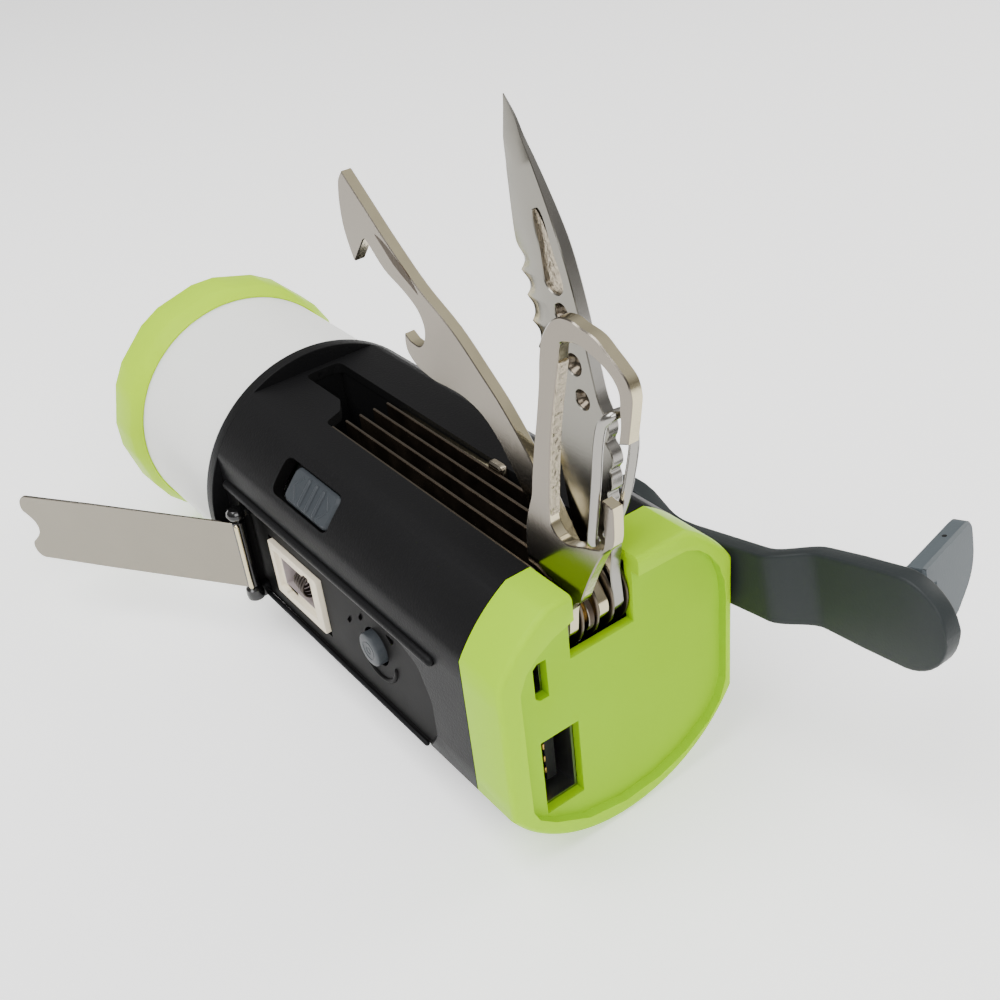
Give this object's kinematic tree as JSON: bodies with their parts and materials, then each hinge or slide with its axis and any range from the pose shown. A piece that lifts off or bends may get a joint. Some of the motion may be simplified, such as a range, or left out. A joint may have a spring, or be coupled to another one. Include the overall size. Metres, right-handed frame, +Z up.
{
  "type": "multi tool",
  "caption": "Hand-crank camping lantern and torch with fold-out knife, opener, saw, driver and carabiner, a coil lighter behind a hinged door, and charging ports.",
  "frame": {"origin": "centre of the recessed face of the end cap, on the axis of the round body", "axes": "+Y along the body from the end cap to the lantern end, +Z up on the tool-bay side, +X on the crank side"},
  "size_m": [0.0958, 0.1626, 0.1075],
  "materials": {
    "casing": "fine moulded texture",
    "lime_cap": "satin lime",
    "lime_ring": "slightly translucent lime",
    "black_inner": "plain",
    "liner_steel": "rolled, dull",
    "tool_steel": "polished",
    "door_steel": "satin",
    "pin_steel": "drawn",
    "port_steel": "stamped",
    "brass_part": "turned",
    "ceramic_white": "unglazed ceramic look",
    "coil_wire": "oxidised wire",
    "grey_plastic": "satin",
    "board_green": "lacquered board",
    "battery_wrap": "shrink wrap",
    "generator_metal": "drawn can",
    "rotor_metal": "ground",
    "gear_white": "moulded gear",
    "crank_slate": "satin slate paint",
    "knob_grey": "fine texture",
    "milky_plastic": "milky, light-scattering",
    "white_inner": "plain",
    "mirror_finish": "vacuum metallised",
    "clear_lens": "clear",
    "led_yellow": "phosphor",
    "screw_black": "black"
  },
  "bodies": {
    "body": {"left_shell": "casing", "right_shell": "casing", "lantern_collar": "casing", "end_cap": "lime_cap", "tool_tray": "black_inner", "left_liner": "liner_steel", "divider_a": "liner_steel", "divider_b": "liner_steel", "divider_c": "liner_steel", "right_liner": "liner_steel", "back_springs": "liner_steel", "pivot_pin": "pin_steel", "frame_pins": "pin_steel", "saw_washers": "brass_part", "driver_pin": "pin_steel", "lighter_housing": "ceramic_white", "lighter_coil": "coil_wire", "lighter_posts": "pin_steel", "button_switch": "black_inner", "door_pin": "pin_steel", "switch_body": "black_inner", "usb_a_shell": "port_steel", "usb_a_tongue": "black_inner", "micro_usb_shell": "port_steel", "micro_usb_tongue": "black_inner", "circuit_board": "board_green", "battery": "battery_wrap", "battery_clips": "pin_steel", "generator_case": "generator_metal", "gearbox_plate": "black_inner", "intermediate_pin": "pin_steel", "crank_bush": "brass_part", "diffuser": "milky_plastic", "lantern_ring": "lime_ring", "led_disc": "white_inner", "torch_reflector": "mirror_finish", "torch_lens": "clear_lens", "torch_led": "led_yellow", "shell_screws": "screw_black"},
    "crank": {"crank_gear": "gear_white", "crank_shaft": "pin_steel", "crank_arm": "crank_slate", "crank_screw": "crank_slate", "knob_pin": "pin_steel"},
    "knob": {"crank_knob": "knob_grey"},
    "idler": {"intermediate_gear": "gear_white"},
    "rotor": {"generator_rotor": "rotor_metal"},
    "carabiner": {"carabiner": "tool_steel"},
    "gate": {"carabiner_gate": "pin_steel"},
    "saw": {"saw": "tool_steel"},
    "opener": {"bottle_opener": "tool_steel"},
    "knife": {"knife": "tool_steel"},
    "driver": {"slim_driver": "tool_steel"},
    "button": {"lighter_button": "grey_plastic", "switch_plunger": "grey_plastic"},
    "door": {"cover_door": "door_steel"},
    "switch": {"slide_switch": "grey_plastic"}
  },
  "joints": [
    {"name": "crank_spin", "type": "hinge", "parent": "body", "child": "crank", "pos_m": [0, 0.0229, 0.0032], "axis": [1, 0, 0], "continuous": true},
    {"name": "knob_fold", "type": "hinge", "parent": "crank", "child": "knob", "pos_m": [0.0309, -0.02767, 0.01294], "axis": [0, 0.1891, 0.982], "range_deg": [-13, 74]},
    {"name": "idler_spin", "type": "hinge", "parent": "body", "child": "idler", "pos_m": [0, 0.0349, 0.0032], "axis": [1, 0, 0], "continuous": true},
    {"name": "rotor_spin", "type": "hinge", "parent": "body", "child": "rotor", "pos_m": [0, 0.04409, -0.00451], "axis": [1, 0, 0], "continuous": true},
    {"name": "carabiner_pivot", "type": "hinge", "parent": "body", "child": "carabiner", "pos_m": [0, 0.004, 0.014], "axis": [1, 0, 0], "range_deg": [-87, 70]},
    {"name": "gate_hinge", "type": "hinge", "parent": "carabiner", "child": "gate", "pos_m": [-0.00658, -0.00643, 0.03294], "axis": [-1, 0, 0], "range_deg": [0, 20], "stiffness_Nm_per_rad": 0.02, "springref_deg": -17.19},
    {"name": "saw_pivot", "type": "hinge", "parent": "body", "child": "saw", "pos_m": [0, 0.004, 0.014], "axis": [1, 0, 0], "range_deg": [0, 175]},
    {"name": "opener_pivot", "type": "hinge", "parent": "body", "child": "opener", "pos_m": [0, 0.004, 0.014], "axis": [1, 0, 0], "range_deg": [-44, 130]},
    {"name": "knife_pivot", "type": "hinge", "parent": "body", "child": "knife", "pos_m": [0, 0.004, 0.014], "axis": [1, 0, 0], "range_deg": [-79, 100]},
    {"name": "driver_pivot", "type": "hinge", "parent": "body", "child": "driver", "pos_m": [0.003, 0.0585, 0.0174], "axis": [-1, 0, 0], "range_deg": [0, 110]},
    {"name": "button_press", "type": "slide", "parent": "body", "child": "button", "axis": [1, 0, 0], "range_m": [0, 0.0007], "stiffness_N_per_m": 400, "springref_m": -0.001},
    {"name": "door_hinge", "type": "hinge", "parent": "body", "child": "door", "pos_m": [-0.0233, 0.0755, 0], "axis": [0, 0, 1], "range_deg": [-10, 146]},
    {"name": "switch_slide", "type": "slide", "parent": "body", "child": "switch", "axis": [0, 1, 0], "range_m": [0, 0.0032]}
  ],
  "couplings": [
    {"joint": "idler_spin", "follows": "crank_spin", "ratio": -3},
    {"joint": "rotor_spin", "follows": "crank_spin", "ratio": 9}
  ]
}
